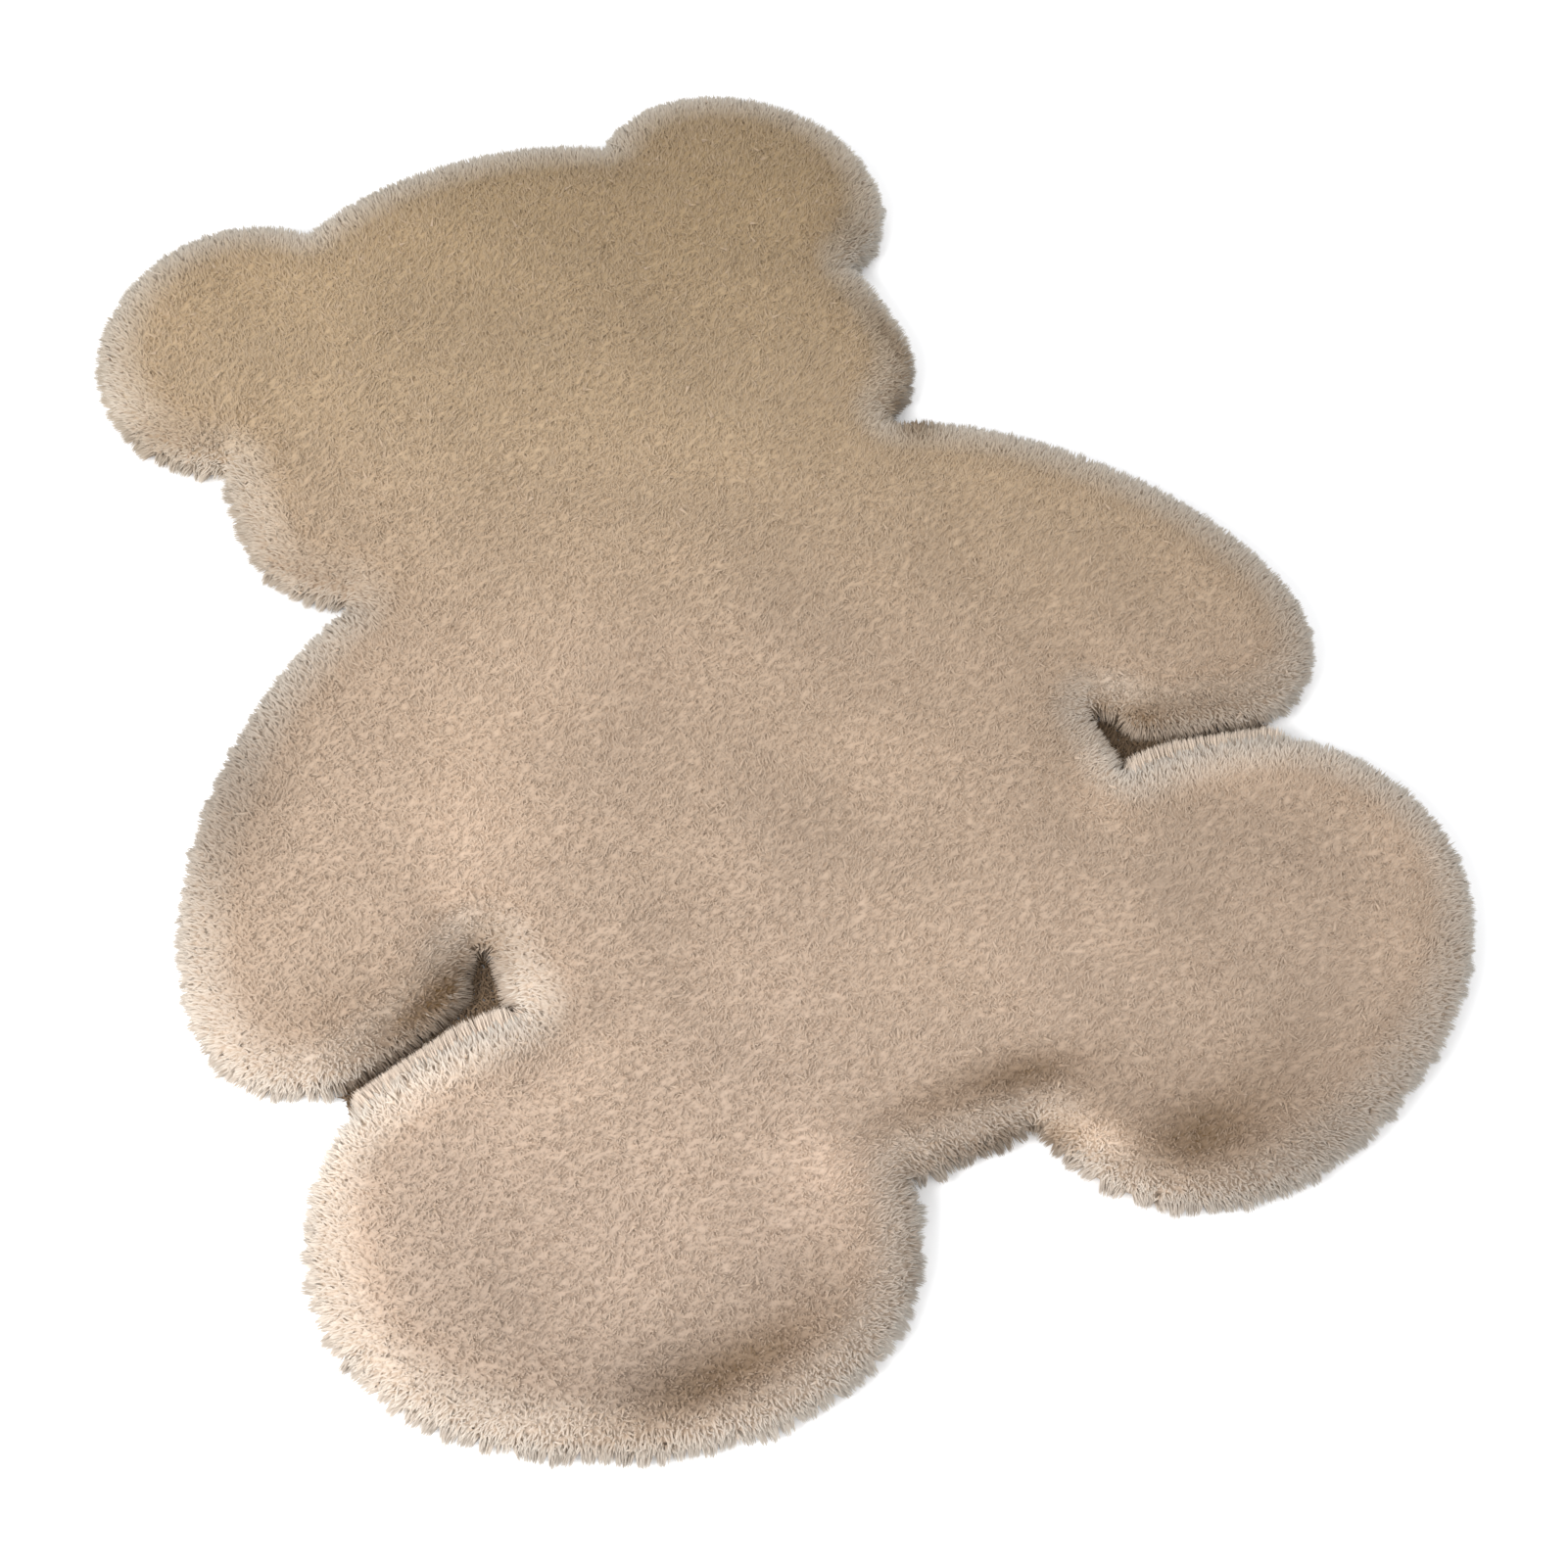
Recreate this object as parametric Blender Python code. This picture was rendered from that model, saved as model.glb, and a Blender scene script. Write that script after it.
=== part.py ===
# Bear shaped plush rug for a child's room, lying flat with its pile up.
# Metres, +Z up, head towards +Y. The origin is on the floor, under the middle of the rug's box.

import math
from collections import namedtuple

import bmesh
import bpy
import numpy as np
from mathutils import Matrix, Vector, noise
from mathutils.geometry import intersect_point_line

# Driving sizes
RUG_LENGTH = 0.900  # from the tops of the ears to the soles
PILE_HEIGHT = 0.032  # the crown of the pile over the floor
ROLL_WIDTH = 0.046  # how far in from the rim the pile is still rounding over
RIM_HEIGHT = 0.011  # where the slab's side stands out furthest
FOOTPRINT_INSET = 0.005  # how far the flat underside stays inside that rim
LOCK_REACH = 0.0065  # how far the locks stand out of the slab's side
SLAB_INSET = 0.0060  # from the drawn outline in to the slab's side

# The uneven top: low lumps of pile, and a soft trough above each armpit
LUMP_HEIGHTS = {0.150: 0.0030, 0.065: 0.0034}  # the length of a lump, and how high it stands
TROUGH_DEPTH = 0.0080
TROUGH_WIDTH = 0.014
TROUGH_FOOT = (0.212, -0.135)
TROUGH_HEAD = (0.226, -0.075)

# How finely the shapes are cut into faces
WALK_TURN = math.radians(0.1)
RIM_STEP = 0.0155
RING_DEPTHS = (0.004, 0.012, 0.024, 0.040)
GRID_STEP = 0.022
SNAP = 0.004

# Locks of pile at the rim
LOCK_PITCH = 0.0132
LOCK_ROOT_RADIUS = 0.0076
LOCK_TIP_RADIUS = 0.0016
LOCK_BURIED = 0.007  # how much of a lock lies inside the slab
LOCK_ROOT_HEIGHT = 0.0105
LOCK_TIP_HEIGHTS = (0.0035, 0.0110)
LOCK_LENGTHS = (0.72, 1.0)  # the shortest and longest, as shares of the reach
LOCK_LEAST_REACH = 0.0020
LOCK_SWAY = math.radians(13)
LOCK_CLEARANCE = 0.0012
LOCK_SEED = 7

# The cut is a union of ovals. x, y is an oval's middle, long and tall its half sizes before it
# is turned, low its half size below the middle, and turn its angle in degrees. Its power is 2
# for a true oval, and more for one with fuller corners.
Lobe = namedtuple("Lobe", "x y long tall low turn power")
HEAD = Lobe(x=0.000, y=0.193, long=0.238, tall=0.257, low=0.106, turn=0, power=2.16)
EAR = Lobe(x=0.183, y=0.348, long=0.107, tall=0.093, low=0.093, turn=-47, power=2)
ARM = Lobe(x=0.234, y=-0.017, long=0.184, tall=0.099, low=0.099, turn=-48.9, power=2.05)
PALM = Lobe(x=0.285, y=-0.118, long=0.068, tall=0.050, low=0.050, turn=-13.6, power=3.3)
BODY = Lobe(x=0.000, y=-0.120, long=0.208, tall=0.236, low=0.236, turn=0, power=2.44)
HIP = Lobe(x=0.216, y=-0.267, long=0.142, tall=0.102, low=0.102, turn=0, power=2.4)
LEG = Lobe(x=0.203, y=-0.308, long=0.173, tall=0.128, low=0.128, turn=22.6, power=2.18)

# Clockwise from the crown to between the feet: each lobe is followed until the next takes over.
WALK = (HEAD, EAR, HEAD, ARM, PALM, ARM, BODY, HIP, LEG, BODY)

SHARP_ANGLE = math.radians(50)
FUR_COLOUR = (0.50, 0.36, 0.245, 1.0)
FUR_ROUGHNESS = 0.95


def clear_scene():
    for obj in list(bpy.data.objects):
        bpy.data.objects.remove(obj, do_unlink=True)


def turned(lobe, x, y, direction):
    """(x, y) turned by the lobe's angle, forwards for 1 and backwards for -1."""
    angle = math.radians(lobe.turn) * direction
    return (x * math.cos(angle) - y * math.sin(angle), x * math.sin(angle) + y * math.cos(angle))


def point_on(lobe, angle):
    """The point of the lobe's oval at this angle of its circle."""
    across, up = (
        math.copysign(abs(side) ** (2 / lobe.power), side) for side in (math.cos(angle), math.sin(angle))
    )
    x, y = turned(lobe, across * lobe.long, up * (lobe.tall if up > 0 else lobe.low), 1)
    return (lobe.x + x, lobe.y + y)


def on_circle(lobe, point):
    """The point as seen in the circle that the lobe's oval is a stretched copy of."""
    x, y = turned(lobe, point[0] - lobe.x, point[1] - lobe.y, -1)
    across, up = x / lobe.long, y / (lobe.tall if y > 0 else lobe.low)
    return tuple(math.copysign(abs(side) ** (lobe.power / 2), side) for side in (across, up))


def inside(lobe, point):
    return math.hypot(*on_circle(lobe, point)) < 1


def follow(lobe, start, stop):
    """Points clockwise along the lobe from start until stop(point) is true."""
    x, y = on_circle(lobe, start)
    angle = math.atan2(y, x)
    points = [start]
    while True:
        angle -= WALK_TURN
        points.append(point_on(lobe, angle))
        if stop(points[-1]):
            return points


def spread_evenly(points, step):
    """The same line with points about step apart."""
    line = np.array(points)
    along = np.concatenate([[0], np.cumsum(np.linalg.norm(np.diff(line, axis=0), axis=1))])
    at = np.linspace(0, along[-1], max(2, round(along[-1] / step) + 1))
    return np.stack([np.interp(at, along, line[:, axis]) for axis in (0, 1)], axis=1)


def drawn_outline(step):
    """The rug's outline, clockwise from the crown, as points about step apart."""
    half = []
    start = point_on(HEAD, math.pi / 2)
    for lobe, following in zip(WALK, WALK[1:] + (None,)):
        if following:
            arc = follow(lobe, start, lambda point: inside(following, point))
        else:
            arc = follow(lobe, start, lambda point: point[0] <= 0)
        half.extend(spread_evenly(arc, step)[:-1].tolist())
        start = arc[-1]
    half.append([0.0, start[1]])
    mirrored = [[-x, y] for x, y in reversed(half[1:-1])]
    outline = np.array(half + mirrored)
    middle = (outline[:, 1].max() + outline[:, 1].min()) / 2
    outline[:, 1] -= middle
    return outline * RUG_LENGTH / np.ptp(outline[:, 1])


def outward(outline):
    """The outward direction at each point of a clockwise outline."""
    along = np.roll(outline, -1, axis=0) - np.roll(outline, 1, axis=0)
    across = np.stack([-along[:, 1], along[:, 0]], axis=1)
    return across / np.linalg.norm(across, axis=1, keepdims=True)


def distance_to(outline, point):
    """How far the point is from the nearest side of the outline."""
    ends = np.roll(outline, -1, axis=0)
    side = ends - outline
    share = ((point - outline) * side).sum(axis=1) / (side * side).sum(axis=1)
    nearest = outline + np.clip(share, 0, 1)[:, None] * side
    return float(np.linalg.norm(point - nearest, axis=1).min())


def trough(x, y):
    """Depth of the soft trough that runs up from each armpit."""
    foot, head = Vector(TROUGH_FOOT), Vector(TROUGH_HEAD)
    _, share = intersect_point_line(Vector((abs(x), y)), foot, head)
    share = min(max(share, 0), 1)
    away = (Vector((abs(x), y)) - foot.lerp(head, share)).length
    return TROUGH_DEPTH * (1 - share) * math.exp(-((away / TROUGH_WIDTH) ** 2))


def lumps(x, y):
    """Low broad lumps with smaller ones on them, from smooth noise."""
    place = Vector((x, y, 0))
    return sum(height * noise.noise(place / length) for length, height in LUMP_HEIGHTS.items())


def pile_top(x, y, depth):
    """Height of the pile at a point that lies depth inside the rim: a quarter round, then level."""
    share = min(depth / ROLL_WIDTH, 1)
    rounded = math.sqrt(1 - (1 - share) ** 2)
    crown = PILE_HEIGHT - RIM_HEIGHT + (lumps(x, y) - trough(x, y)) * share
    return RIM_HEIGHT + crown * rounded


def cut_into_grid(bm, face):
    """Cuts the face along lines GRID_STEP apart in both directions."""
    geometry = [face, *face.edges, *face.verts]
    reach = math.ceil(RUG_LENGTH / 2 / GRID_STEP)
    for axis in (Vector((1, 0, 0)), Vector((0, 1, 0))):
        for number in range(-reach, reach + 1):
            place = axis * (number + 0.5) * GRID_STEP
            cut = bmesh.ops.bisect_plane(bm, geom=geometry, dist=SNAP, plane_co=place, plane_no=axis)
            geometry = cut["geom"]


def close_underside(bm, rim):
    """Carries the side down from the rim to a flat face on the floor."""
    edges = [edge for edge in bm.edges if edge.is_boundary]
    made = bmesh.ops.extrude_edge_only(bm, edges=edges)["geom"]
    directions = outward(rim)
    for vert in (item for item in made if isinstance(item, bmesh.types.BMVert)):
        number = int(np.linalg.norm(rim - np.array(vert.co.xy), axis=1).argmin())
        x, y = rim[number] - directions[number] * FOOTPRINT_INSET
        vert.co = (x, y, 0)
    bottom = [item for item in made if isinstance(item, bmesh.types.BMEdge)]
    bmesh.ops.contextual_create(bm, geom=bottom)


def slab(rim):
    """The closed slab of pile inside the rim line, as a mesh object.

    The outline is one flat face, inset in rings where the pile rounds over and cut into a grid
    within them. Its points are then lifted to the height of the pile."""
    bm = bmesh.new()
    face = bm.faces.new([bm.verts.new((x, y, 0)) for x, y in rim])
    earlier = 0
    for depth in RING_DEPTHS:
        bmesh.ops.inset_region(bm, faces=[face], thickness=depth - earlier, use_even_offset=True)
        earlier = depth
    cut_into_grid(bm, face)
    for vert in bm.verts:
        vert.co.z = pile_top(vert.co.x, vert.co.y, distance_to(rim, np.array(vert.co.xy)))
    close_underside(bm, rim)
    bmesh.ops.triangulate(bm, faces=bm.faces)
    bmesh.ops.recalc_face_normals(bm, faces=bm.faces)
    return mesh_object("fur_rug", bm)


def free_way(rim, point, direction):
    """How far the pile across a narrow gap is from this point of the rim."""
    away = rim - point
    ahead = away @ direction
    aside = np.abs(away @ np.array([-direction[1], direction[0]]))
    facing = (ahead > LOCK_CLEARANCE) & (aside < RIM_STEP)
    return float(ahead[facing].min()) if facing.any() else RUG_LENGTH


def add_lock(bm, root, tip):
    """A four sided lock that narrows from its root to its tip."""
    along = tip - root
    cone = bmesh.ops.create_cone(
        bm,
        cap_ends=True,
        segments=4,
        radius1=LOCK_ROOT_RADIUS,
        radius2=LOCK_TIP_RADIUS,
        depth=along.length,
    )
    stand = along.to_track_quat("Z", "Y").to_matrix().to_4x4()
    bmesh.ops.transform(bm, matrix=Matrix.Translation((root + tip) / 2) @ stand, verts=cone["verts"])


def locks(rim):
    """The locks that stand out all round the rim, as one mesh object."""
    rng = np.random.default_rng(LOCK_SEED)
    places = spread_evenly(np.vstack([rim, rim[:1]]), LOCK_PITCH)[:-1]
    bm = bmesh.new()
    for place, direction in zip(places, outward(places)):
        room = free_way(rim, place, direction) / 2 - LOCK_CLEARANCE
        reach = min(LOCK_REACH * rng.uniform(*LOCK_LENGTHS), room)
        heading = Vector((*direction, 0))
        heading.rotate(Matrix.Rotation(rng.uniform(-LOCK_SWAY, LOCK_SWAY), 3, "Z"))
        tip_height = rng.uniform(*LOCK_TIP_HEIGHTS)
        if reach < LOCK_LEAST_REACH:
            continue
        root = Vector((*place, LOCK_ROOT_HEIGHT)) - heading * LOCK_BURIED
        tip = Vector((*place, tip_height)) + heading * reach
        add_lock(bm, root, tip)
    return mesh_object("locks", bm)


def mesh_object(name, bm):
    mesh = bpy.data.meshes.new(name)
    bm.to_mesh(mesh)
    bm.free()
    mesh.shade_smooth()
    mesh.set_sharp_from_angle(angle=SHARP_ANGLE)
    return bpy.data.objects.new(name, mesh)


def fur():
    material = bpy.data.materials.new("fur")
    material.use_nodes = True
    shader = material.node_tree.nodes["Principled BSDF"]
    shader.inputs["Base Color"].default_value = FUR_COLOUR
    shader.inputs["Roughness"].default_value = FUR_ROUGHNESS
    shader.inputs["Metallic"].default_value = 0.0
    return material


def collection(name):
    made = bpy.data.collections.new(name)
    bpy.context.scene.collection.children.link(made)
    return made


def main():
    clear_scene()
    parts, helpers = collection("bear_rug"), collection("helpers")
    outline = drawn_outline(RIM_STEP)
    rim = outline - outward(outline) * SLAB_INSET

    rug = slab(rim)
    rug.data.materials.append(fur())
    parts.objects.link(rug)

    fringe = locks(rim)
    fringe.hide_render = True
    fringe.display_type = "WIRE"
    helpers.objects.link(fringe)

    joined = rug.modifiers.new("locks", "BOOLEAN")
    joined.operation = "UNION"
    joined.solver = "EXACT"
    joined.object = fringe


main()
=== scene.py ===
import math

import bmesh
import bpy
import numpy as np
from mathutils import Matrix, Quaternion, Vector, noise


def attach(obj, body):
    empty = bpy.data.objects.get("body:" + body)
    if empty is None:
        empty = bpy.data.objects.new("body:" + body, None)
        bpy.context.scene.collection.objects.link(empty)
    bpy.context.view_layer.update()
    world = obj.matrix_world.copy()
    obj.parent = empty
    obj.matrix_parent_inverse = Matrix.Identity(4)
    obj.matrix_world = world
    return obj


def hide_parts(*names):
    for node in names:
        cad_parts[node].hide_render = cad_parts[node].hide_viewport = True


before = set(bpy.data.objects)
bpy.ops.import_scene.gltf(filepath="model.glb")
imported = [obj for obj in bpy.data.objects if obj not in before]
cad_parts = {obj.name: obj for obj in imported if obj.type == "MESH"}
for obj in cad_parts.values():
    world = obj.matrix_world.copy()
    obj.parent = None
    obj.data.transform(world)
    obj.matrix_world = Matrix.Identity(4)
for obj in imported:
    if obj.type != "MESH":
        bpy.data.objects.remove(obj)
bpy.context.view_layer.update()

# The camera
camera = dict(
    aim=(0.005, -0.093, 0.012),  # the point of the rug in the middle of the picture
    azimuth=-35.3, elevation=60.7, roll=10.7,  # degrees
    distance=1.448,
    lens=54, film=36,  # millimetres
)


def placeCamera(settings):
    # It stands back from the aim along (sin a cos e, -cos a cos e, sin e), with a the azimuth and
    # e the elevation, looks at the aim and is then rolled.
    azimuth, elevation = math.radians(settings["azimuth"]), math.radians(settings["elevation"])
    back = Vector((
        math.sin(azimuth) * math.cos(elevation),
        -math.cos(azimuth) * math.cos(elevation),
        math.sin(elevation),
    ))
    made = bpy.data.objects.new("camera", bpy.data.cameras.new("camera"))
    made.data.lens = settings["lens"]
    made.data.sensor_width = settings["film"]
    made.rotation_mode = "QUATERNION"
    made.location = Vector(settings["aim"]) + back * settings["distance"]
    turn = Quaternion((0, 0, 1), math.radians(settings["roll"]))
    made.rotation_quaternion = (-back).to_track_quat("-Z", "Y") @ turn
    bpy.context.scene.collection.objects.link(made)
    bpy.context.scene.camera = made


placeCamera(camera)
print("camera placed")

# The cut: a union of ovals, each followed clockwise until the next one takes over
cut = dict(
    length=0.900,  # ears to soles
    turn=0.1,  # degrees between points as an oval is followed
    step=0.002,  # between points of the finished line
    walk=("head", "ear", "head", "arm", "palm", "arm", "body", "hip", "leg", "body"),
    # x, y is an oval's middle, long and tall its half sizes, low its half size below the middle,
    # turn its angle in degrees, and power 2 for an oval and more for fuller corners
    head=dict(x=0.000, y=0.193, long=0.238, tall=0.257, low=0.106, turn=0, power=2.16),
    ear=dict(x=0.183, y=0.348, long=0.107, tall=0.093, low=0.093, turn=-47, power=2),
    arm=dict(x=0.234, y=-0.017, long=0.184, tall=0.099, low=0.099, turn=-48.9, power=2.05),
    palm=dict(x=0.285, y=-0.118, long=0.068, tall=0.050, low=0.050, turn=-13.6, power=3.3),
    body=dict(x=0.000, y=-0.120, long=0.208, tall=0.236, low=0.236, turn=0, power=2.44),
    hip=dict(x=0.216, y=-0.267, long=0.142, tall=0.102, low=0.102, turn=0, power=2.4),
    leg=dict(x=0.203, y=-0.308, long=0.173, tall=0.128, low=0.128, turn=22.6, power=2.18),
)


def unit(vectors):
    # Each vector over its own length.
    return vectors / np.maximum(np.linalg.norm(vectors, axis=-1, keepdims=True), 1e-9)


def turned(x, y, degrees):
    # (x cos a - y sin a, x sin a + y cos a)
    angle = math.radians(degrees)
    return x * math.cos(angle) - y * math.sin(angle), x * math.sin(angle) + y * math.cos(angle)


def signedPower(side, power):
    # |side|^power with the sign of side.
    return np.sign(side) * np.abs(side) ** power


def pointOn(lobe, angle):
    # Across is |cos|^(2/power) and up |sin|^(2/power), each with its sign, times the half sizes,
    # then turned and moved to the oval's middle.
    across = signedPower(np.cos(angle), 2 / lobe["power"]) * lobe["long"]
    up = signedPower(np.sin(angle), 2 / lobe["power"])
    x, y = turned(across, up * np.where(up > 0, lobe["tall"], lobe["low"]), lobe["turn"])
    return np.stack([lobe["x"] + x, lobe["y"] + y], axis=-1)


def onCircle(lobe, points):
    # The way back from pointOn: under 1 from the middle is inside the oval.
    x, y = turned(points[..., 0] - lobe["x"], points[..., 1] - lobe["y"], -lobe["turn"])
    up = y / np.where(y > 0, lobe["tall"], lobe["low"])
    power = lobe["power"] / 2
    return signedPower(x / lobe["long"], power), signedPower(up, power)


def insideLobe(lobe, points):
    # Less than 1 from the middle of the circle that the oval was made from.
    return np.hypot(*onCircle(lobe, points)) < 1


def spreadEvenly(line, step):
    # The same line, read by its length at even steps.
    along = np.concatenate([[0], np.cumsum(np.linalg.norm(np.diff(line, axis=0), axis=1))])
    at = np.linspace(0, along[-1], round(along[-1] / step) + 1)
    return np.stack([np.interp(at, along, line[:, axis]) for axis in (0, 1)], axis=1)


def drawOutline(settings):
    # Half the line from the crown to between the feet, mirrored, moved to the middle of its
    # length and scaled to the rug's. Returns it with that move and scale.
    walk = settings["walk"]
    start, arcs = pointOn(settings["head"], np.array(math.pi / 2)), []
    turns = np.radians(settings["turn"]) * np.arange(1, round(360 / settings["turn"]))
    for name, following in zip(walk, walk[1:] + (None,)):
        across, up = onCircle(settings[name], start)
        arc = pointOn(settings[name], np.arctan2(up, across) - turns)
        over = insideLobe(settings[following], arc) if following else arc[:, 0] <= 0
        arc = np.vstack([start, arc[:np.argmax(over) + 1]])
        arcs.append(arc[:-1])
        start = arc[-1]
    half = spreadEvenly(np.vstack([*arcs, [0.0, start[1]]]), settings["step"])
    line = np.vstack([half, (half * (-1, 1))[-2:0:-1]])
    middle = (line[:, 1].max() + line[:, 1].min()) / 2
    scale = settings["length"] / np.ptp(line[:, 1])
    return (line - (0, middle)) * scale, middle, scale


def outwardOf(line):
    # The way round a clockwise line turned a quarter to its left.
    along = np.roll(line, -1, axis=0) - np.roll(line, 1, axis=0)
    return unit(np.stack([-along[:, 1], along[:, 0]], axis=1))


outline, outlineMiddle, outlineScale = drawOutline(cut)
rimLength = len(outline) * cut["step"] * outlineScale
print("outline drawn,", len(outline), "points,", round(rimLength, 3), "m round")

# The plan: fields on a square net over the rug, read in between by their four corners
plan = dict(
    step=0.002, across=0.400, up=0.470,
    edge=1.001,  # steps from the net's end within which nothing is read
)
planX = np.arange(-plan["across"], plan["across"] + 1e-6, plan["step"])
planY = np.arange(-plan["up"], plan["up"] + 1e-6, plan["step"])
netX, netY = np.meshgrid(planX, planY)


def read(field, x, y):
    # The four nearest values of the net, weighted by how near each is along x and along y.
    column = np.clip((x + plan["across"]) / plan["step"], 0, len(planX) - plan["edge"])
    row = np.clip((y + plan["up"]) / plan["step"], 0, len(planY) - plan["edge"])
    i, j = column.astype(int), row.astype(int)
    u, v = column - i, row - j
    low = field[j, i] * (1 - u) + field[j, i + 1] * u
    high = field[j + 1, i] * (1 - u) + field[j + 1, i + 1] * u
    return low * (1 - v) + high * v


def softNoise(x, y, size, seed):
    # Random heights on a square net of this size, joined by 3t^2 - 2t^3. Three such nets, turned
    # by 60 degrees from each other, are added so that no direction shows.
    cells, loudness, total = 512, 1.5, 0
    for number, degrees in enumerate((17, 77, 137)):
        heights = np.random.default_rng(seed * 10 + number).uniform(-1, 1, (cells, cells))
        u, v = turned(x / size, y / size, degrees)
        i, j = np.floor(u).astype(int), np.floor(v).astype(int)
        s, t = u - i, v - j
        s, t = s * s * (3 - 2 * s), t * t * (3 - 2 * t)
        low = heights[j % cells, i % cells] * (1 - s) + heights[j % cells, (i + 1) % cells] * s
        j = j + 1
        high = heights[j % cells, i % cells] * (1 - s) + heights[j % cells, (i + 1) % cells] * s
        total = total + low * (1 - t) + high * t
    return total / loudness


def measureDepth(line):
    # From each net point to the nearest side of the line, above nought inside the rug. The
    # nearest line point q comes from |p|^2 - 2pq + |q|^2, and the way to its side is then
    # the way to q less what of it runs along the line.
    points = np.stack([netX.ravel(), netY.ravel()], axis=1)
    squares = (line ** 2).sum(axis=1)
    parts = 60  # one table of all the distances would be too large
    nearest = np.concatenate([
        (squares - 2 * part @ line.T).argmin(axis=1) for part in np.array_split(points, parts)
    ])
    along = unit(np.roll(line, -1, axis=0) - np.roll(line, 1, axis=0))[nearest]
    away = points - line[nearest]
    share = np.clip((away * along).sum(axis=1), -cut["step"] / 2, cut["step"] / 2)
    away -= along * share[:, None]
    asDrawn = np.stack([np.abs(points[:, 0]), points[:, 1]], axis=1) / outlineScale
    asDrawn += (0, outlineMiddle)
    inside = np.any([insideLobe(cut[name], asDrawn) for name in set(cut["walk"])], axis=0)
    return (np.linalg.norm(away, axis=1) * np.where(inside, 1, -1)).reshape(netX.shape)


depthNet = measureDepth(outline)
slopeY, slopeX = np.gradient(depthNet, plan["step"])
outwardXNet, outwardYNet = np.moveaxis(unit(np.stack([-slopeX, -slopeY], axis=-1)), -1, 0)
print("plan measured, deepest", round(float(depthNet.max()), 3), "m inside the rim")

# The slits between arm and leg
slit = dict(across=(0.196, 0.311), up=(-0.200, -0.105), widest=0.048, under=0.003)


def findSlits(settings):
    # Net points outside the rug, or just under its rim, in either slit's box, in those columns
    # of the net where they are no more across than the widest.
    box = (np.abs(netX) > settings["across"][0]) & (np.abs(netX) < settings["across"][1])
    box &= (netY > settings["up"][0]) & (netY < settings["up"][1])
    empty = box & (depthNet < settings["under"])
    return np.where(empty & (empty.sum(axis=0) * plan["step"] < settings["widest"]), 1.0, 0.0)


slitNet = findSlits(slit)
print("slits found,", int(slitNet.sum()), "net points")

# The pile's surface, where the tips of the fur end
pile = dict(
    top=0.0325, rimHeight=0.011,  # metres over the floor: the crown, and the rim's widest place
    rollWidth=0.050,  # how far in from the rim it is still rounding over
    lumps={0.150: 0.0030, 0.065: 0.0034},  # length of a lump: its height
    lumpNet=0.010,
    trough=dict(depth=0.0080, width=0.014, foot=(0.212, -0.135), head=(0.226, -0.075)),
    dip=0.0040,  # how deep the pile lies in the middle of a parting
)
# Soft places where the pile has parted and lies lower, and is painted darker as painted shade:
# the dark seen deep in the open pile and the shadow on slopes and in slits that face away from
# the light. Each has x and y of the middle, how far it reaches along and aside, its angle in
# degrees and its strength
shadedPartings = [
    (-0.190, -0.410, 0.060, 0.018, 3, 0.84),
    (-0.125, -0.392, 0.050, 0.022, 34, 0.25),
    (0.118, -0.400, 0.042, 0.024, -10, 0.70),
    (0.165, -0.392, 0.060, 0.030, 12, 0.34),
    (0.048, -0.326, 0.034, 0.013, -10, 0.62),
    (-0.005, -0.322, 0.050, 0.014, -2, 0.42),
    (0.028, -0.364, 0.030, 0.012, -8, 0.88),
    (-0.022, -0.356, 0.030, 0.012, -8, 0.42),
    (-0.062, -0.404, 0.035, 0.006, 70, 0.30),
    (-0.230, -0.139, 0.030, 0.018, 30, 0.50),
    (-0.300, -0.130, 0.040, 0.022, 6, 0.26),
    (-0.252, -0.152, 0.046, 0.013, 18, 0.68),
    (-0.200, -0.118, 0.018, 0.012, 60, 0.25),
    (0.262, -0.152, 0.060, 0.016, -12, 0.42),
    (0.226, -0.147, 0.020, 0.016, -30, 0.58),
    (0.213, -0.130, 0.024, 0.0050, 80, 0.40),
    (0.225, 0.176, 0.050, 0.010, 96, 0.58),
    (-0.256, 0.287, 0.042, 0.018, -28, 0.40),
    (-0.234, 0.215, 0.040, 0.010, 84, 0.20),
    (0.208, 0.126, 0.022, 0.014, 70, 0.95),
    (0.085, -0.352, 0.040, 0.030, -20, 0.22),
    (-0.206, 0.150, 0.050, 0.020, -44, 0.42),
    (-0.318, 0.010, 0.055, 0.020, 62, 0.26),
]
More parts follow.
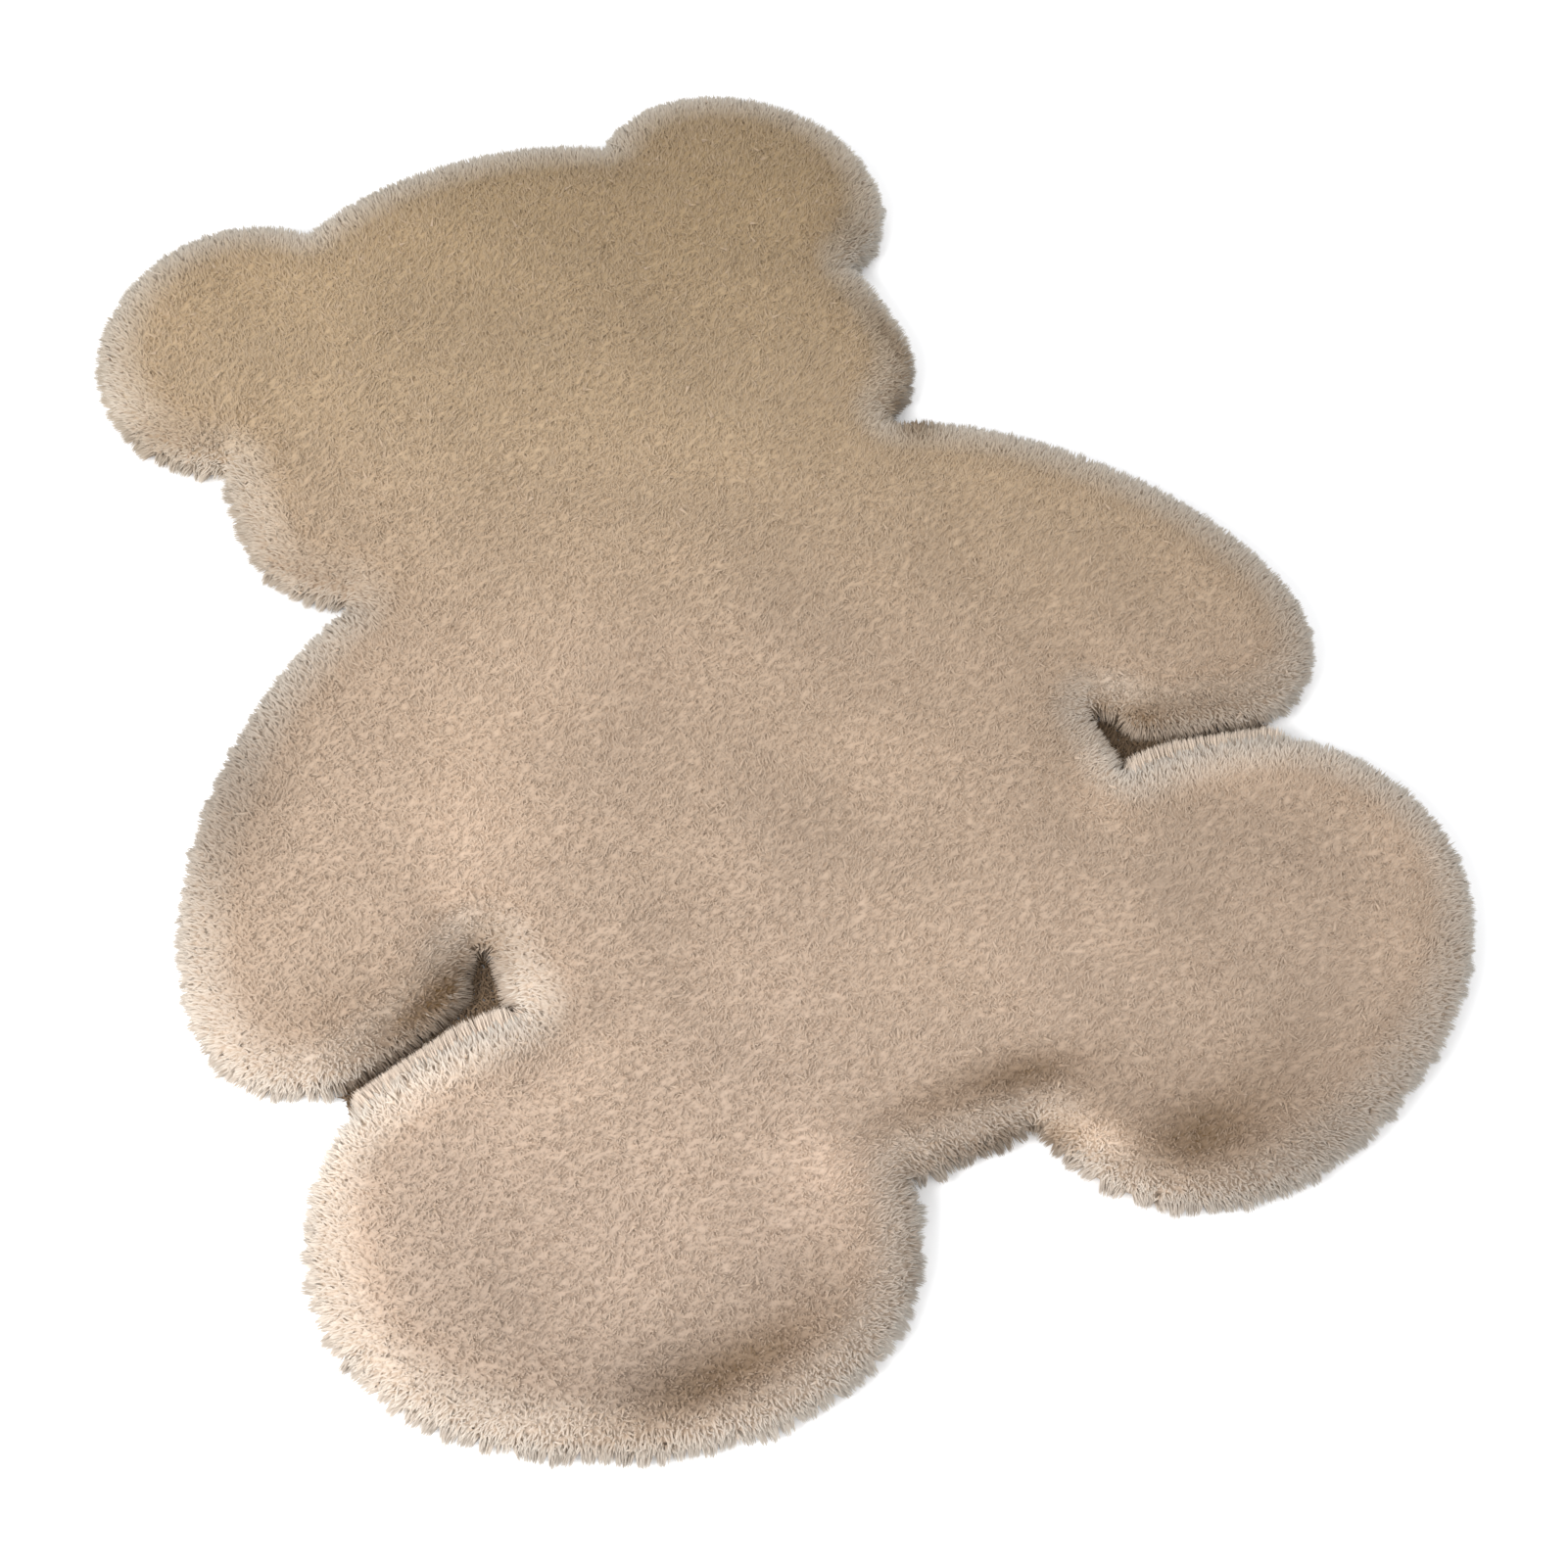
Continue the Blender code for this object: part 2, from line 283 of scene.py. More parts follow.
# In the same way, soft places of painted light, where the pile is painted lighter as if lit
# more, and of painted shade, painted darker, where the strength is under nought
paintedLightPlaces = [
    (-0.182, -0.055, 0.060, 0.035, 88, 0.11),
    (-0.107, 0.042, 0.060, 0.050, 0, 0.06),
    (-0.264, -0.190, 0.066, 0.018, 12, 0.16),
    (-0.338, -0.262, 0.080, 0.018, 84, 0.10),
    (-0.302, 0.036, 0.080, 0.036, 58, -0.11),
    (-0.235, -0.385, 0.070, 0.028, -6, -0.05),
    (-0.310, -0.320, 0.075, 0.040, 110, -0.07),
    (-0.075, -0.338, 0.030, 0.018, -60, 0.10),
    (0.190, -0.165, 0.040, 0.018, 70, 0.14),
    (0.270, -0.200, 0.070, 0.018, -14, 0.12),
    (0.340, -0.285, 0.070, 0.024, -80, 0.10),
    (0.066, -0.374, 0.026, 0.012, -40, 0.24),
    (0.030, -0.250, 0.110, 0.060, -20, 0.05),
    (0.088, -0.108, 0.050, 0.026, -50, 0.06),
    (-0.095, -0.345, 0.060, 0.045, 60, 0.04),
    (0.240, 0.275, 0.022, 0.022, 0, -0.10),
    (-0.080, 0.370, 0.110, 0.045, 6, 0.045),
    (-0.224, 0.396, 0.034, 0.030, 0, 0.05),
    (0.304, -0.346, 0.070, 0.030, -80, 0.045),
    (0.185, -0.435, 0.050, 0.016, 10, -0.08),
    (-0.228, -0.399, 0.030, 0.020, 0, -0.08),
    (-0.150, -0.372, 0.045, 0.025, 20, -0.05),
    (-0.170, -0.185, 0.030, 0.020, 0, -0.05),
    (-0.190, -0.222, 0.030, 0.022, 0, 0.07),
    (-0.248, -0.415, 0.070, 0.012, -24, 0.07),
    (0.086, -0.416, 0.050, 0.012, -8, 0.07),
    (-0.100, 0.416, 0.110, 0.030, 0, 0.05),
]


def strengthOf(places, x, y):
    # For each place its strength times exp(-(along / long)^2 - (aside / wide)^2), in sum.
    total = np.zeros_like(x)
    for middleX, middleY, long, wide, angle, strength in places:
        along, aside = turned(x - middleX, y - middleY, -angle)
        total += strength * np.exp(-((along / long) ** 2 + (aside / wide) ** 2))
    return total


def lumpHeight():
    # The solid's own lumps: smooth noise at two sizes, on a coarse net read in between.
    coarseX = np.arange(-plan["across"], plan["across"] + pile["lumpNet"], pile["lumpNet"])
    coarseY = np.arange(-plan["up"], plan["up"] + pile["lumpNet"], pile["lumpNet"])
    heights = np.array([
        [
            sum(
                high * noise.noise(Vector((x, y, 0)) / size)
                for size, high in pile["lumps"].items()
            )
            for x in coarseX
        ]
        for y in coarseY
    ])
    overX = np.array([np.interp(planX, coarseX, row) for row in heights])
    return np.array([np.interp(planY, coarseY, column) for column in overX.T]).T


def troughDepth(x, y):
    # Deepest at the armpit and shallower up the arm, fading aside as exp(-(away / width)^2).
    trough = pile["trough"]
    foot, head = np.array(trough["foot"]), np.array(trough["head"])
    way = head - foot
    points = np.stack([np.abs(x), y], axis=-1)
    share = np.clip(((points - foot) @ way) / (way @ way), 0, 1)
    away = np.linalg.norm(points - foot - share[..., None] * way, axis=-1)
    return trough["depth"] * (1 - share) * np.exp(-((away / trough["width"]) ** 2))


def surfaceHeight(depth, extra):
    # A quarter round from the rim's height to the crown, then level: with t the depth over the
    # roll's width, sqrt(1 - (1 - t)^2). What is extra comes in with t.
    share = np.clip(depth / pile["rollWidth"], 0, 1)
    crown = pile["top"] - pile["rimHeight"] + extra * share
    return pile["rimHeight"] + crown * np.sqrt(1 - (1 - share) ** 2)


partingShadeNet, paintedLightNet = strengthOf(shadedPartings, netX, netY), strengthOf(paintedLightPlaces, netX, netY)
extraNet = lumpHeight() - troughDepth(netX, netY) - pile["dip"] * partingShadeNet
heightNet = surfaceHeight(depthNet, extraNet)
slopeY, slopeX = np.gradient(heightNet, plan["step"])
print("surface laid, highest", round(float(heightNet[depthNet > 0].max()), 4), "m")


def normalAt(x, y):
    # Up, less the slope along x and along y.
    slopes = read(slopeX, x, y), read(slopeY, x, y)
    return unit(np.stack([-slopes[0], -slopes[1], np.ones_like(x)], axis=-1))


def outwardAt(x, y):
    # Level, the way in which the depth falls fastest.
    flat = [read(outwardXNet, x, y), read(outwardYNet, x, y), np.zeros_like(x)]
    return unit(np.stack(flat, axis=-1))


# Strands: three sided, with rings that narrow to a tip, many of them in one mesh
strands = dict(
    gap=0.02,  # between the sides in a strand's cell of the map
    crosswise=(0.31, 0.95, 0.05),  # no strand runs along this
    roundness=0.25,  # how far its normals turn round it, away from the pile's own
)


def strandTables(rings):
    # The faces of one strand and their places in its cell of the map, as (vertex, u, v) rows:
    # three columns for the sides, and the root's face in the gap between two tips.
    top, gap, rows = rings - 1, strands["gap"], []
    for side in range(3):
        left, right = side / 3 + gap, (side + 1) / 3 - gap
        here, ahead = side, (side + 1) % 3
        for ring in range(top):
            low, high = max(ring / top, gap), (ring + 1) / top
            base = [(ring * 3 + here, left, low), (ring * 3 + ahead, right, low)]
            if ring < top - 1:
                over = [(ring * 3 + 3 + ahead, right, high), (ring * 3 + 3 + here, left, high)]
                rows += [base[0], base[1], over[0], base[0], over[0], over[1]]
            else:
                rows += [base[0], base[1], (top * 3, (left + right) / 2, 1 - gap)]
    low = (top - 1) / top + 3 * gap
    rows += [(2, 1 / 6 + 2 * gap, 1 - gap), (1, 1 / 2 - 2 * gap, 1 - gap), (0, 1 / 3, low)]
    return np.array(rows)


def strandMesh(name, paths, widths, spin, normals, values, finish):
    # Round each path point but the last stand three points at its width, a third of a turn
    # apart; the last point is the tip. Its normals are the pile's plus a share of the way round.
    # paths is (strands, rings, 3), widths (strands, rings - 1).
    count, rings = paths.shape[:2]
    along = unit(np.diff(paths, axis=1))
    side = unit(np.cross(along, np.array(strands["crosswise"])))
    up = np.cross(along, side)
    angle = spin[:, None] + np.arange(3) * (2 * math.pi / 3)
    around = (
        side[:, :, None] * np.cos(angle)[:, None, :, None]
        + up[:, :, None] * np.sin(angle)[:, None, :, None]
    )
    ringPoints = paths[:, :-1, None] + around * widths[:, :, None, None]
    points = np.concatenate([ringPoints.reshape(count, -1, 3), paths[:, -1:]], axis=1)
    perStrand = points.shape[1]
    table = strandTables(rings)
    corners = table[:, 0].astype(np.int32) + perStrand * np.arange(count, dtype=np.int32)[:, None]
    faces = corners.size // 3

    mesh = bpy.data.meshes.new(name)
    mesh.vertices.add(count * perStrand)
    mesh.vertices.foreach_set("co", points.astype(np.float32).ravel())
    mesh.loops.add(corners.size)
    mesh.loops.foreach_set("vertex_index", corners.ravel())
    mesh.polygons.add(faces)
    mesh.polygons.foreach_set("loop_start", np.arange(0, corners.size, 3, dtype=np.int32))
    mesh.update(calc_edges=True)
    mesh.polygons.foreach_set("use_smooth", np.ones(faces, dtype=bool))

    cells = math.ceil(math.sqrt(count))
    number = np.arange(count)
    corner = np.stack([number % cells, number // cells], axis=1)
    mapped = (corner[:, None] + table[None, :, 1:]) / cells
    mesh.uv_layers.new(name="OFBake").data.foreach_set("uv", mapped.astype(np.float32).ravel())

    shade = np.repeat(np.linspace(0, 1, rings)[:-1], 3).tolist() + [1.0]
    layers = dict(shade=np.broadcast_to(shade, (count, perStrand)))
    for key, value in values.items():
        layers[key] = np.broadcast_to(value[:, None], (count, perStrand))
    writeLayers(mesh, layers)

    roundness = strands["roundness"]
    ringNormals = unit(normals[:, None, None] + roundness * around).reshape(count, -1, 3)
    tipNormals = unit(normals[:, None] + roundness * along[:, -1:])
    blended = np.concatenate([ringNormals, tipNormals], axis=1).reshape(-1, 3)
    mesh.normals_split_custom_set_from_vertices(blended)
    return place(name, mesh, finish)


def writeLayers(mesh, layers):
    # Each named row of numbers becomes a point attribute, which the finish reads.
    for key, value in layers.items():
        layer = mesh.attributes.new(key, "FLOAT", "POINT")
        layer.data.foreach_set("value", np.ascontiguousarray(value, dtype=np.float32).ravel())


def place(name, mesh, finish):
    # The mesh as a piece of the rug: it rides the body and stands for the solid.
    mesh.materials.append(finish)
    made = bpy.data.objects.new(name, mesh)
    bpy.context.scene.collection.objects.link(made)
    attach(made, "root")
    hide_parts("fur_rug")
    print(name, len(mesh.polygons), "faces")
    return made


# Shader sums and nodes
class Amount:
    # A number socket that takes part in sums; each operator adds one Math node.
    def __init__(self, finish, socket):
        self.finish, self.socket = finish, socket

    def maths(self, operation, first, second):
        # One Math node on two values.
        node = self.finish.node("ShaderNodeMath", dict(operation=operation), {0: first, 1: second})
        return Amount(self.finish, node.outputs[0])

    def __add__(self, other):
        return self.maths("ADD", self, other)

    def __sub__(self, other):
        return self.maths("SUBTRACT", self, other)

    def __rsub__(self, other):
        return self.maths("SUBTRACT", other, self)

    def __mul__(self, other):
        return self.maths("MULTIPLY", self, other)

    def __pow__(self, other):
        return self.maths("POWER", self, other)

    __radd__, __rmul__ = __add__, __mul__


allFinishes = dict(specular=0.15, sheenRoughness=0.55)


class Finish:
    # A material and the nodes that make it.
    def __init__(self, name, roughness, sheen, sheenTint):
        self.material = bpy.data.materials.new(name)
        self.material.use_nodes = True
        self.tree = self.material.node_tree
        self.shader = self.tree.nodes["Principled BSDF"]
        self.shader.inputs["Roughness"].default_value = roughness
        self.shader.inputs["Specular IOR Level"].default_value = allFinishes["specular"]
        self.shader.inputs["Sheen Weight"].default_value = sheen
        self.shader.inputs["Sheen Roughness"].default_value = allFinishes["sheenRoughness"]
        self.shader.inputs["Sheen Tint"].default_value = sheenTint

    def node(self, kind, settings=None, sockets=None):
        # Any node: its type, its settings, and the values or links of its sockets.
        made = self.tree.nodes.new(kind)
        for key, value in (settings or {}).items():
            setattr(made, key, value)
        for key, value in (sockets or {}).items():
            value = value.socket if isinstance(value, Amount) else value
            if isinstance(value, bpy.types.NodeSocket):
                self.tree.links.new(value, made.inputs[key])
            else:
                made.inputs[key].default_value = value
        return made

    def attribute(self, name):
        # What strandMesh or layUndercoat wrote under this name.
        made = self.node("ShaderNodeAttribute", dict(attribute_name=name))
        return Amount(self, made.outputs["Fac"])

    def coordinates(self):
        # The place on the piece, in metres.
        return self.node("ShaderNodeTexCoord").outputs["Object"]

    def noise(self, scale, detail, roughness=0.5):
        # Noise between 0 and 1, with this many waves to a metre.
        sockets = dict(Vector=self.coordinates(), Scale=scale, Detail=detail, Roughness=roughness)
        return Amount(self, self.node("ShaderNodeTexNoise", {}, sockets).outputs["Fac"])

    def mix(self, share, first, second):
        # first * (1 - share) + second * share
        sockets = {0: share, 6: first, 7: second}
        return self.node("ShaderNodeMix", dict(data_type="RGBA"), sockets).outputs[2]

    def ramp(self, share, stops):
        # The colours at the two stops beside share, weighted by how near each is.
        made = self.node("ShaderNodeValToRGB", {}, {0: share})
        elements = made.color_ramp.elements
        for number, (at, colour) in enumerate(stops.items()):
            element = elements[number] if number < 2 else elements.new(at)
            element.position, element.color = at, colour
        return made.outputs[0]

    def tinted(self, colour, tint):
        # colour * tint, channel by channel.
        sockets = {0: colour, 1: tint}
        return self.node("ShaderNodeVectorMath", dict(operation="MULTIPLY"), sockets).outputs[0]

    def scaled(self, colour, amount):
        # colour * amount
        sockets = {0: colour, "Scale": amount}
        return self.node("ShaderNodeVectorMath", dict(operation="SCALE"), sockets).outputs[0]

    def feed(self, name, value):
        # Links a value to a socket of the shader.
        value = value.socket if isinstance(value, Amount) else value
        self.tree.links.new(value, self.shader.inputs[name])


# Fur finish: darker at the roots, a painted shade deep in the pile, pale at the tips, each
# strand a little its own
furLook = dict(
    root=(0.365, 0.272, 0.198, 1), pale=(0.700, 0.665, 0.600, 1),
    # tips along the rug, from the feet at low to the crown at high, a little aside: darker towards
    # the crown and the right as painted shade, and yellower there
    tips={
        0.05: (0.458, 0.356, 0.284, 1), 0.98: (0.348, 0.252, 0.142, 1),
        0.50: (0.460, 0.350, 0.262, 1), 0.72: (0.460, 0.344, 0.224, 1),
    },
    aside=0.45, low=-0.45, high=0.45,
    # parted: painted shade, the dark deep in an opened pile and the shadow where slopes and slits
    # face away from the light
    partedShade=(0.125, 0.072, 0.030, 1), partedShadeShare=0.85,
    rise=0.75,  # over 1 keeps the dark of the roots further up the strand
    patches=0.07, patchScale=7.0, patchDetail=2.0,
    warm=(0.96, 0.95, 0.90), warmShare=0.7,
    roughness=0.92, sheen=0.25,
)


def furColour(finish, look):
    # The tip's colour from the feet to the crown, darker towards the crown as painted shade,
    # towards warm in broad patches; then from root to tip by shade^rise, the dark roots a painted
    # shade deep in the pile, towards the pale tip colour where the strand is pale (pale tips and
    # painted highlight), towards the parted colour where the pile has parted (painted shade), then
    # times the strand's tone, which differs at random and also holds painted light and shade.
    shade, tone, pale, partedShade = (
        finish.attribute(name) for name in ("shade", "tone", "pale", "partedShade")
    )
    patches = finish.noise(look["patchScale"], look["patchDetail"])
    axes = finish.node("ShaderNodeSeparateXYZ", {}, {0: finish.coordinates()}).outputs
    along = Amount(finish, axes[1]) + Amount(finish, axes[0]) * look["aside"]
    reach = look["high"] - look["low"]
    tip = finish.ramp((along - look["low"]) * (1 / reach), look["tips"])
    tip = finish.mix(patches * look["warmShare"], tip, finish.tinted(tip, look["warm"]))
    tip = finish.mix(pale, tip, look["pale"])
    colour = finish.mix(shade ** look["rise"], look["root"], tip)
    colour = finish.mix(partedShade * look["partedShadeShare"], colour, look["partedShade"])
    broad = 1 - look["patches"] / 2 + patches * look["patches"]
    return finish.scaled(colour, tone * broad)


def makeFur(look):
    # furColour alone.
    finish = Finish("plush_fur", look["roughness"], look["sheen"], look["pale"])
    finish.feed("Base Color", furColour(finish, look))
    return finish.material


undercoatLook = dict(
    scale=260.0, detail=3.0, grain=0.6,
    dark=0.87, light=1.05, relief=0.5, rise=0.0012,
    roughness=0.95, sheen=0.15,
)


def makeUndercoat(look, above):
    # The fur's colour, from dark to light times itself by fine noise; the noise is its relief too.
    finish = Finish("undercoat", look["roughness"], look["sheen"], above["pale"])
    grain = finish.noise(look["scale"], look["detail"], look["grain"])
    spread = look["dark"] + grain * (look["light"] - look["dark"])
    finish.feed("Base Color", finish.scaled(furColour(finish, above), spread))
    sockets = dict(Height=grain, Strength=look["relief"], Distance=look["rise"])
    finish.feed("Normal", finish.node("ShaderNodeBump", {}, sockets).outputs[0])
    return finish.material


backingLook = dict(
    thread=(0.560, 0.450, 0.340, 1), gap=(0.300, 0.225, 0.160, 1),
    pitch=0.0016, relief=0.5, rise=0.0004,
    roughness=0.9, sheen=0.05,
)


def makeBacking(look):
    # Colour and relief: the larger of |sin(pi x / pitch)| and |sin(pi y / pitch)|.
    finish = Finish("backing_cloth", look["roughness"], look["sheen"], look["thread"])
    axes = finish.node("ShaderNodeSeparateXYZ", {}, {0: finish.coordinates()}).outputs
    turns = math.pi / look["pitch"]
    waves = []
    for axis in axes[:2]:
        wave = Amount(finish, axis) * turns
        waves.append(wave.maths("ABSOLUTE", wave.maths("SINE", wave, 0), 0))
    weave = waves[0].maths("MAXIMUM", waves[0], waves[1])
    finish.feed("Base Color", finish.mix(weave, look["gap"], look["thread"]))
    sockets = dict(Height=weave, Strength=look["relief"], Distance=look["rise"])
    finish.feed("Normal", finish.node("ShaderNodeBump", {}, sockets).outputs[0])
    return finish.material


fur, undercoat = makeFur(furLook), makeUndercoat(undercoatLook, furLook)
backingCloth = makeBacking(backingLook)
print("finishes made")


def growPieces(settings, paths, widths, spin, normal, values):
    # The strands in their order, shared out evenly among the pieces that the settings name.
    made = []
    parts = np.array_split(np.arange(len(paths)), len(settings["pieces"]))
    for name, part in zip(settings["pieces"], parts):
        own = {key: value[part] for key, value in values.items()}
        made.append(strandMesh(
            name, paths[part], widths[part], spin[part], normal[part], own, fur,
        ))
    return made


# Short pile over the whole top
tufts = dict(
    pitch=0.00186, least=0.0025,  # metres between tufts, and from the rim to the first of them
    jitter=0.45,  # how far a tuft stands off its place in the net, in pitches
    length=0.0080, lengthSpread=0.25, width=0.00125, widthRange=(0.85, 1.15),
    foot=0.0015,  # no root lies lower
    gatherSize=0.0036, gather=0.22, gatherHeight=0.0007,  # how tips draw together into worms
    nudge=0.0004,  # between the two places that give a slope
    tipSpread=0.0004,
    # how far strands differ, how much of it by worm and by strand, and how much a place of
    # painted light brightens and a place of painted shade darkens
    toneSpread=0.05, wormTone=0.4, ownTone=0.4, paintedLight=2.2,
    # how much of the parted colour, a painted shade, a strand takes in a parting, its spread, what
    # a worm's ridge takes off, and the most
    partedShade=0.95, partedShadeSpread=0.14, partedShadeWorm=0.15, partedShadeMost=1.3,
    # share of pale tips at the rim, how far in they reach, and how much more on one side and
    # less on the other; the pale is paler tips and painted highlight, the more on one side a
    # painted rim light
    pale=0.84, paleWidth=0.036, paleSide=(0.58, 0.82), paleMore=0.22, paleLeast=-0.2,
    paleRange=(0.7, 1),
    swirls={0.070: 0.10, 0.018: 0.12},  # size of a swirl: how far the pile leans in it
    sway=0.24, rimLean=0.35,
    pieces=("pile_ears", "pile_chest", "pile_belly", "pile_feet"),
    seed=21, gatherSeed=31, swirlSeed=40,
)


def scatter(settings, rng):
    # A staggered net with every point moved at random within its cell. Where the surface is
    # steep near the rim more points are added, as many as sqrt(1 + slope^2) asks for.
    pitch, jitter, rows = settings["pitch"], settings["jitter"], []
    for again in range(2):
        x, y = np.meshgrid(
            np.arange(-plan["across"], plan["across"], pitch),
            np.arange(-plan["up"], plan["up"], pitch),
        )
        x[::2] += pitch / 2
        x, y = (
            side.ravel() + rng.uniform(-jitter, jitter, side.size) * pitch for side in (x, y)
        )
        depth = read(depthNet, x, y)
        keep = depth > settings["least"]
        if again:
            more = 1 / normalAt(x, y)[:, 2] - 1
            keep &= rng.uniform(0, 1, x.size) < more
        rows.append((x[keep], y[keep]))
    return np.concatenate(rows, axis=1)


def leanAt(x, y, settings):
    # Soft noise for x and for y at each swirl's size, times how far the pile leans in it.
    lean = np.zeros((x.size, 3))
    for number, (size, amount) in enumerate(settings["swirls"].items()):
        for axis in (0, 1):
            seed = settings["swirlSeed"] + 2 * number + axis
            lean[:, axis] += amount * softNoise(x, y, size, seed)
    return lean


def paleShare(settings, x, y):
    # From the rim inwards it falls off evenly, times more on the side that faces the crown's
    # right than on the others, and less in the partings' painted shade. The pale is paler tips
    # and painted highlight, more of it on that side as a painted rim light.
    near = np.clip(1 - read(depthNet, x, y) / settings["paleWidth"], 0, 1)
    facing = outwardAt(x, y)[:, :2] @ np.array(settings["paleSide"])
    side = settings["pale"] + settings["paleMore"] * np.clip(facing, settings["paleLeast"], 1)
    return near * side * np.clip(1 - read(partingShadeNet, x, y), 0, 1)


def growPile(settings):
    # The tip lies on the surface, moved up the slope of fine noise so that tips gather along its
    # ridges; the root lies a strand's length back along normal + lean.
    rng = np.random.default_rng(settings["seed"])
    x, y = scatter(settings, rng)
    order = np.argsort(-y)
    x, y = x[order], y[order]
    count = x.size
    depth, height = read(depthNet, x, y), read(heightNet, x, y)
    size, nudge, seed = settings["gatherSize"], settings["nudge"], settings["gatherSeed"]
    ridge = softNoise(x, y, size, seed)
    ridgeX = softNoise(x + nudge, y, size, seed) - softNoise(x - nudge, y, size, seed)
    ridgeY = softNoise(x, y + nudge, size, seed) - softNoise(x, y - nudge, size, seed)
    normal = normalAt(x, y)
    rimShare = np.clip(1 - depth / pile["rollWidth"], 0, 1)[:, None]
    lean = leanAt(x, y, settings) + rng.normal(0, settings["sway"], (count, 3))
    lean += outwardAt(x, y) * settings["rimLean"] * rimShare
    heading = unit(normal + lean)
    length = settings["length"] * rng.uniform(1 - settings["lengthSpread"], 1, count)
    base = np.stack([x, y, height], axis=1)
    pull = settings["gather"] * size * size
    lift = settings["gatherHeight"] * ridge + rng.normal(0, settings["tipSpread"], count)
    tip = base + normal * lift[:, None]
    tip[:, 0] += pull * (ridgeX / (2 * nudge))
    tip[:, 1] += pull * (ridgeY / (2 * nudge))
    root = base - heading * length[:, None]
    root[:, 2] = np.maximum(root[:, 2], settings["foot"])
    paths = np.stack([root, tip], axis=1)
    widths = settings["width"] * rng.uniform(*settings["widthRange"], (count, 1))
    spin = rng.uniform(0, 2 * math.pi, count)
    tone = settings["wormTone"] * ridge + rng.normal(0, settings["ownTone"], count)
    tone = 1 + settings["toneSpread"] * np.clip(tone, -1, 1)
    # Places of painted light make the strand lighter, places of painted shade darker.
    tone += settings["paintedLight"] * read(paintedLightNet, x, y)
    # In a parting a strand takes some of the parted colour, a painted shade.
    partedShade = rng.normal(settings["partedShade"], settings["partedShadeSpread"], count)
    partedShade = np.clip(partedShade - settings["partedShadeWorm"] * ridge, 0, settings["partedShadeMost"])
    partedShade = read(partingShadeNet, x, y) * partedShade
    # Pale by the rim: paler tips and painted highlight.
    pale = paleShare(settings, x, y) * rng.uniform(*settings["paleRange"], count)
    values = dict(tone=tone, pale=pale, partedShade=partedShade)
    made = growPieces(settings, paths, widths, spin, normal, values)
    print("pile grown,", count, "tufts")
    return made


pileWork = growPile(tufts)

# Locks of longer fur all round the rim
rimFur = dict(
    perMetre=7900, length=(0.010, 0.015), rings=3,
    width=0.00092, widthRange=(0.85, 1.15), taper=0.62,  # the last ring's share of the width
    spin=6.3,  # radians, a whole turn
    foot=0.0013,  # no strand lies lower
    pitch=0.0092, pitchSpread=0.30,  # between locks
    reach=0.0048, least=0.0008,  # how far a lock's tip stands out beyond the strands beside it
    # the tier that stands out most, how far from it others still do, and the least share
    fullTier=0.4, fullWidth=0.35, fullLeast=0.4,
    # how far a strand's tip is drawn to its lock's middle, how much less in the top tier, and
    # how late along the strand
    draw=0.30, drawHigh=0.45, drawPower=1.5,
    sway=0.0016, outSpread=0.0004, angleSpread=7,  # a lock's aside, a tip's outwards and degrees
    # by tier, from the lowest strand to the highest: tip height, tip place outside the outline,
    # and the angle over the horizon at which the tip points
    tier=(0.0, 0.30, 0.60, 1.0),
    tipHeight=(0.0020, 0.0065, 0.0115, 0.0215), heightRange=(0.85, 1.15),
    tipOut=(-0.0050, -0.0022, -0.0020, -0.0075),
    tipAngle=(-22, -8, 6, 34),
    tierPower=0.9,  # under 1 puts more strands in the higher tiers
    bend=28,  # degrees from the root's way to the tip's
    upward=0.55,  # how far the normals lean to the sky
    toneSpread=0.07, lockTone=0.5, ownTone=0.5, toneRange=(-1.5, 1),
    litSide=0.13,  # how much darker on the side that faces the light
    # pale: paler tips and painted highlight by the rim, more on the rims that face right as painted
    # light
    pale=0.80, paleSide=(0.28, 0.02), paleRange=(0.7, 1.0),
    # Between arm and leg the strands reach across until they meet.
    meeting=dict(
        y=-0.150, tall=0.045, reach=0.318, fade=0.012,  # where, as |x| and y
        widest=0.040, narrowing=0.008, far=1.0,  # of the gap, and where nothing faces the rim
        legUp=0.5, armAside=0.3,  # how far the rim's way out tells the leg's side from the arm's
        legShare=0.95, armShare=0.20, over=0.004, most=0.0105, acrossRange=(0.75, 1),
        more=2600,  # strands added on the leg's side
        # on the leg's side longer by this share of the way across, wider, turned to the sky and
        # lighter, the lighter a painted light; on both sides the locks sway less and are less pale
        longer=0.8, wider=0.15, skyward=0.8, lighter=0.26, calmer=0.7, lessPale=0.6,
        # share of the parted colour, a painted shade low in the slit, and how fast it falls off
        # from the lowest tier upwards
        partedShade=0.9, fallRight=1.4, fallLeft=0.6, fallLeg=14.0,
        # the partings' colour is painted shade
        within=0.5, shadedPartings=0.3,  # inside this share filled, this much of the partings' colour
    ),
    pieces=("rim_locks_right", "rim_locks_left"),
    seed=22,
)


def freeWay(line, directions, far):
    # From each point of the line straight outwards to the first point of it that faces it: the
    # least way ahead among those that lie close beside that way, and far where there are none.
    least, beside = 0.001, 0.003  # metres
    away = line[None] - line[:, None]
    ahead = (away * directions[:, None]).sum(axis=2)
    aside = np.abs(away[..., 0] * directions[:, None, 1] - away[..., 1] * directions[:, None, 0])
    return np.where((ahead > least) & (aside < beside), ahead, far).min(axis=1)


